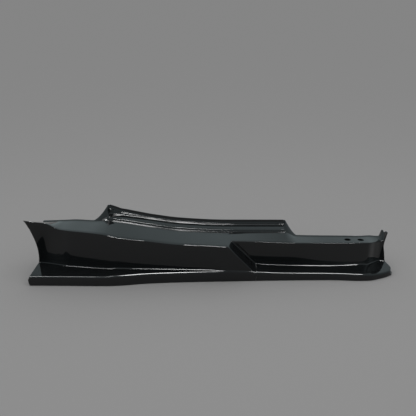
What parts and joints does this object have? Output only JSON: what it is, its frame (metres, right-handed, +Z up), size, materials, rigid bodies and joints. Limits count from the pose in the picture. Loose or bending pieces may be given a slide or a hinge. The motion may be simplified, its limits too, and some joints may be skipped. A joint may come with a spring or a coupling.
{
  "type": "car side skirt",
  "caption": "One-piece moulded side skirt for a car sill: flat lip, undercut panel with a diagonal step, raised sill step, flared rear arch end.",
  "frame": {"origin": "a point of the flat underside, below the middle of the doors and 123 mm inboard of the lip edge at the diagonal step", "axes": "+X runs towards the front wheel, -Y faces out of the car, +Z is up"},
  "size_m": [1.6792, 0.288, 0.2973],
  "materials": {
    "gloss_black": "high-gloss black gelcoat"
  },
  "bodies": {
    "root": {"side_skirt": "gloss_black"}
  },
  "joints": []
}
